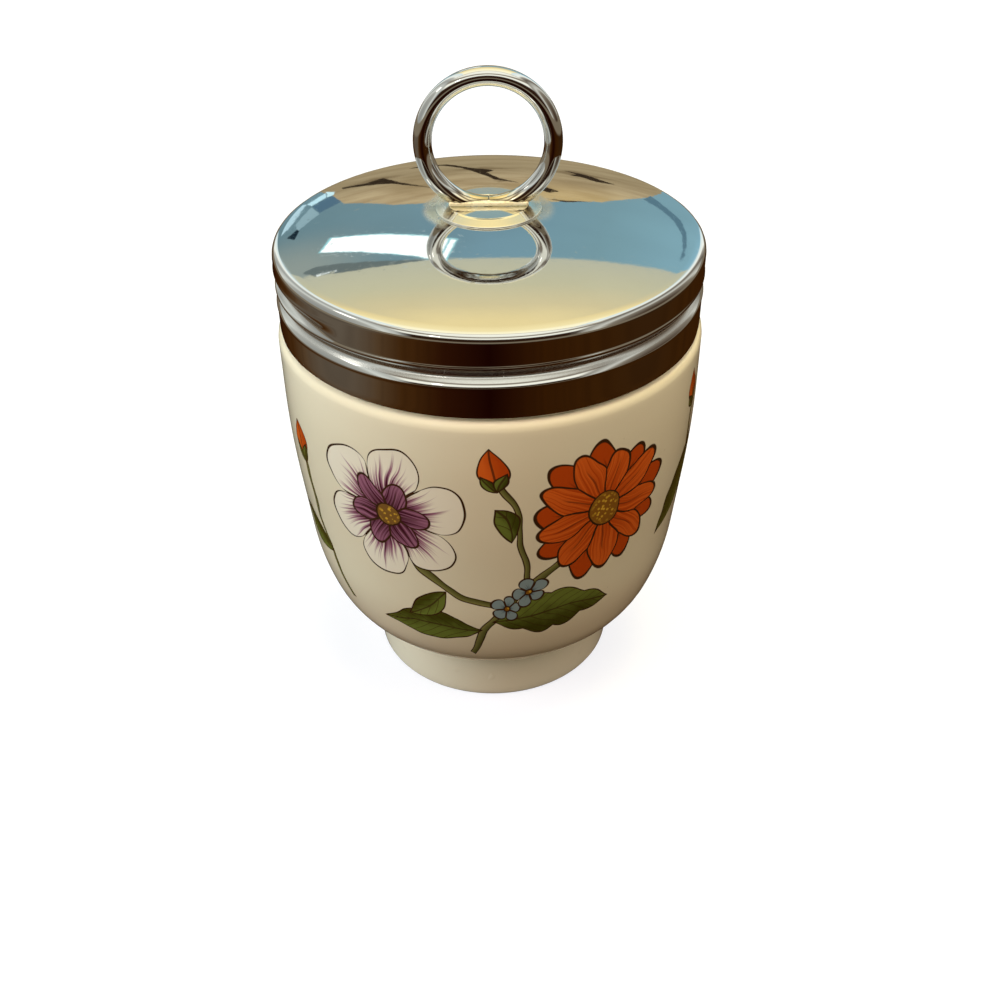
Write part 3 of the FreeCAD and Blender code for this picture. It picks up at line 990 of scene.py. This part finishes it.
CRACKS = (
    ((-0.216, 0.066), (-0.181, 0.083), (-0.152, 0.065), (-0.137, 0.147), (-0.089, 0.256),
     (-0.137, 0.172), (-0.154, 0.142), (-0.185, 0.112), (-0.219, 0.083)),
    ((-0.108, -0.001), (-0.086, -0.021), (-0.055, -0.003), (-0.025, 0.062), (0.008, 0.101),
     (-0.003, 0.129), (0.017, 0.19), (0.05, 0.23), (0.01, 0.203), (-0.017, 0.127),
     (-0.038, 0.06), (-0.062, 0.01)),
    ((0.105, 0.05), (0.139, 0.07), (0.169, 0.1), (0.195, 0.121), (0.165, 0.13),
     (0.137, 0.106), (0.118, 0.1), (0.128, 0.08)),
    ((0.075, 0.273), (0.096, 0.252), (0.118, 0.274), (0.103, 0.297)),
    ((0.099, 0.348), (0.138, 0.343), (0.184, 0.321), (0.14, 0.354)),
)
BOARD = (
    (-0.25, -0.17), (0.26, -0.17), (0.262, 0.14), (0.25, 0.2), (0.2, 0.31), (0.1, 0.37),
    (0, 0.392), (-0.1, 0.37), (-0.17, 0.34), (-0.245, 0.23), (-0.244, 0.08),
)
# Small bright things beside and in front: name, degrees round from behind, strength, corners.
GLINTS = (
    ("left_glint", 92, 1.8, ((-0.13, 0.66), (0.12, 0.66), (0.12, 0.84), (-0.13, 0.84))),
    ("front_glint", 150, 4.0, ((-0.05, 0.66), (0.05, 0.66), (0.05, 0.76), (-0.05, 0.76))),
)
CRACK_COLOUR = (48, 38, 28)
GLINT_COLOUR = (255, 252, 244)
BOARD_DISTANCE = 2.02
CRACK_DISTANCE = 2.01
SHAPE_DISTANCE = 2.0
SHAPE_SPACING = 0.004
CARD_EYE_HEIGHT = 0.08

# Name, place, power in watts, colour: the window, the room on both sides, and the ceiling.
LAMPS = (
    ("window_light", (-0.65, 0.0, 0.22), 2.95, (0.6, 0.84, 1.0)),
    ("room_left", (-0.52, -0.3, 0.42), 2.5, (1.0, 0.77, 0.68)),
    ("ceiling_light", (0.1, 0.05, 0.75), 4.4, (1.0, 0.91, 0.54)),
    ("room_right", (0.42, -0.32, 0.6), 2.3, (1.0, 0.75, 0.62)),
)
LAMP_SIZE = 0.4
LAMP_TARGET = Vector((0, 0, 0.04))

CAMERA_PLACE = (0, -0.1613, 0.1451)
CAMERA_TILT = math.radians(90 - 36.48)
CAMERA_YAW = math.radians(0.45)
CAMERA_ROLL = math.radians(-0.45)
CAMERA_LENS = 43.2


def room_light(settings):
    """The room. To the camera it is white, and to matt surfaces a little even light. To polished
    metal it is a dark table, a blue-grey wall behind, a cream ceiling and a pale wall in front."""
    world = bpy.data.worlds.new("room")
    world.use_nodes = True
    bpy.context.scene.world = world
    mix = Mixture(world.node_tree)
    direction = mix.node("TexCoord").outputs["Generated"]
    x, y, z = mix.parts(direction)

    wall = mix.ramp(x + 0.5, WALL_STOPS)
    clouds = mix.ease(mix.noise(direction, 3.5), 0.3, 0.8)
    wall = mix.paint(wall, clouds * 0.3, 92, 118, 130)
    rise = z + x * x * 0.75
    dim = mix.ease(rise, 0.36, 0.6) * mix.ease(x, -0.16, -0.36)
    wall = mix.paint(wall, dim * 0.75, 150, 158, 150)
    ceiling = mix.ramp(rise, CEILING_STOPS)
    behind = mix.blend(mix.ease(rise, 0.622, 0.634), wall, ceiling)
    front = mix.ramp(z, FRONT_STOPS)
    overhead = mix.ease(abs(y + 0.13), 0.05, 0.02) * (z > 0.8)
    wide = abs(x)
    side = mix.ramp(wide, SIDE_STOPS)
    side = mix.paint(side, mix.ease(x, -0.5, -0.6) * 0.3, 226, 236, 236)
    around = mix.blend(mix.ease(wide, 0.4, 0.44), behind, side)
    forward = mix.ease(y, -0.02, -0.12) * mix.ease(wide, 0.72, 0.6)
    around = mix.blend(forward, around, front)
    around = mix.paint(around, overhead * 0.7, 140, 124, 104)
    sockets = {"W": x * 4.0, "Detail": 1.0}
    streaks = mix.node("TexNoise", {"noise_dimensions": "1D"}, sockets).outputs[0]
    table = mix.ramp(x * 0.5 + 0.5, TABLE_STOPS)
    table = mix.paint(table, mix.ease(streaks, 0.3, 0.75) * 0.22, 28, 12, 4)
    table = mix.paint(table, mix.ease(z, -0.24, -0.18) * 0.7, 130, 120, 102)
    around = mix.blend(mix.ease(z, -0.03, 0.01), table, around)

    rays = mix.node("LightPath").outputs
    seen = mix.shine("Background", tint(255, 255, 255))
    lit = mix.shine("Background", tint(242, 251, 236), settings.fill_strength)
    mirrored = mix.shine("Background", around, settings.mirror_strength)
    inner = mix.choose(rays["Is Glossy Ray"], lit, mirrored)
    mix.output("World", mix.choose(rays["Is Camera Ray"], inner, seen))


def mirrored_card(name, corners, distance, colour, strength, bearing=0.0):
    """A shining card that only polished surfaces see, turned so far round from behind. Its colour
    is three levels, or a function that writes it in a mix."""
    material, mix = new_mixture(name)
    colour = colour(mix) if callable(colour) else tint(*colour)
    mix.output("Material", mix.shine("Emission", colour, strength))
    bm = bmesh.new()
    eye = CARD_EYE_HEIGHT
    bm.faces.new([bm.verts.new((x * distance, distance, z * distance + eye)) for x, z in corners])
    card = object_of(bm, name, material)
    card.rotation_euler.z = math.radians(bearing)
    for ray in ("camera", "diffuse", "transmission", "shadow"):
        setattr(card, "visible_" + ray, False)


def board_colour(mix):
    """Pale old wood with knots and cracks."""
    place = mix.node("TexCoord").outputs["Object"]
    x, _, z = mix.parts(place)
    grain = mix.noise(mix.vector(x * 2.2, z * 9.0), 1.5, 4.0, 0.6)
    colour = mix.blend(mix.ease(grain, 0.3, 0.7), tint(190, 172, 136), tint(160, 140, 106))
    shade = mix.ease(mix.noise(mix.vector(x * 3.0, z * 3.0, 4.0), 1.0, 2.0), 0.45, 0.7)
    colour = mix.paint(colour, shade * 0.6, 138, 118, 84)
    colour = mix.paint(colour, mix.ease(z, 0.66, 0.15) * 0.6, 126, 114, 88)
    warm = mix.ease(z, 0.4, 0.8) * mix.ease(x, 0.0, 0.25)
    colour = mix.paint(colour, warm * 0.6, 194, 168, 112)
    bend = mix.noise(mix.vector(x * 1.6, z * 1.6), 3.0, 3.0) - 0.5
    for at, height, size in (
        (-0.33, 0.22, 0.12), (-0.02, 0.24, 0.14), (0.27, 0.22, 0.16), (0.04, 0.52, 0.05),
    ):
        off = abs(z - height + bend * 0.2) * 2.2 + abs(x - at)
        colour = mix.paint(colour, mix.ease(off, size, size * 0.3) * 0.6, 96, 78, 54)
    return colour


def floor_material(settings):
    """Pale paper that fades to white away from the cup. To other surfaces it is a dark table."""
    material, mix = new_mixture("pale_floor")
    white = mix.shine("Emission", (1.12, 1.14, 1.19))
    x, y, _ = mix.parts(mix.node("TexCoord").outputs["Object"])
    away = mix.ease(mix.reach(x, y), 0.15, 0.5)
    seen = mix.choose(0.66 + away * 0.34, mix.matt(settings.floor_colour), white)
    camera = mix.node("LightPath").outputs["Is Camera Ray"]
    mix.output("Material", mix.choose(camera, mix.matt(tint(98, 88, 80)), seen))
    return material


class CODDLER_OT_stage(bpy.types.Operator):
    """Lay the floor and set the light and the camera"""

    bl_idname = "coddler.stage"
    bl_label = "Stage"

    def execute(self, context):
        settings = context.scene.coddler_stage
        scene = context.scene
        scene.view_settings.view_transform = "Standard"

        bm = bmesh.new()
        bmesh.ops.create_grid(bm, x_segments=8, y_segments=8, size=3.0)
        floor = object_of(bm, "floor", floor_material(settings))
        floor.visible_glossy = False

        for name, place, power, colour in LAMPS:
            light = bpy.data.lights.new(name, "AREA")
            light.energy = power * settings.lamp_strength
            light.size = LAMP_SIZE
            light.color = colour
            lamp = bpy.data.objects.new(name, light)
            lamp.location = place
            aim = LAMP_TARGET - lamp.location
            lamp.rotation_euler = aim.to_track_quat("-Z", "Y").to_euler()
            lamp.visible_glossy = False
            scene.collection.objects.link(lamp)

        strength = settings.mirror_strength
        mirrored_card("back_board", BOARD, BOARD_DISTANCE, board_colour, strength)
        for index, corners in enumerate(CRACKS):
            mirrored_card(f"crack_{index}", corners, CRACK_DISTANCE, CRACK_COLOUR, strength)
        for index, (name, colour, share, corners) in enumerate(MIRRORED_SHAPES):
            distance = SHAPE_DISTANCE - index * SHAPE_SPACING
            mirrored_card(name, corners, distance, colour, strength * share)
        for name, bearing, share, corners in GLINTS:
            glow = strength * share
            mirrored_card(name, corners, SHAPE_DISTANCE, GLINT_COLOUR, glow, bearing)
        room_light(settings)

        camera_data = bpy.data.cameras.new("camera")
        camera_data.lens = CAMERA_LENS
        camera_data.sensor_width = 36.0
        camera_data.clip_start = 0.01
        camera_data.clip_end = 20.0
        camera = bpy.data.objects.new("camera", camera_data)
        camera.matrix_world = (
            Matrix.Translation(CAMERA_PLACE) @ Matrix.Rotation(-CAMERA_YAW, 4, "Z")
            @ Matrix.Rotation(CAMERA_TILT, 4, "X") @ Matrix.Rotation(CAMERA_ROLL, 4, "Z")
        )
        scene.collection.objects.link(camera)
        scene.camera = camera
        return {"FINISHED"}


# ---- add-on

SETTINGS = {
    "coddler_cup": CoddlerCupSettings,
    "coddler_lid": CoddlerLidSettings,
    "coddler_handle": CoddlerHandleSettings,
    "coddler_stage": CoddlerStageSettings,
}
OPERATORS = (
    CODDLER_OT_cup, CODDLER_OT_lid, CODDLER_OT_collar, CODDLER_OT_ring, CODDLER_OT_rivet,
    CODDLER_OT_stage,
)


class CODDLER_PT_panel(bpy.types.Panel):
    bl_idname = "CODDLER_PT_panel"
    bl_label = "Egg Coddler"
    bl_space_type = "VIEW_3D"
    bl_region_type = "UI"
    bl_category = "Egg Coddler"

    def draw(self, context):
        layout = self.layout
        for operator in OPERATORS:
            layout.operator(operator.bl_idname)
        for name, group in SETTINGS.items():
            box = layout.box()
            for setting in group.__annotations__:
                box.prop(getattr(context.scene, name), setting)


def register():
    for cls in (*SETTINGS.values(), *OPERATORS, CODDLER_PT_panel):
        bpy.utils.register_class(cls)
    for name, group in SETTINGS.items():
        setattr(bpy.types.Scene, name, bpy.props.PointerProperty(type=group))


def unregister():
    for name in SETTINGS:
        delattr(bpy.types.Scene, name)
    for cls in reversed((*SETTINGS.values(), *OPERATORS, CODDLER_PT_panel)):
        bpy.utils.unregister_class(cls)


def main():
    register()
    bpy.ops.coddler.cup()
    bpy.ops.coddler.lid()
    bpy.ops.coddler.collar()
    bpy.ops.coddler.ring()
    bpy.ops.coddler.rivet()
    bpy.ops.coddler.stage()


if __name__ == "__main__":
    main()
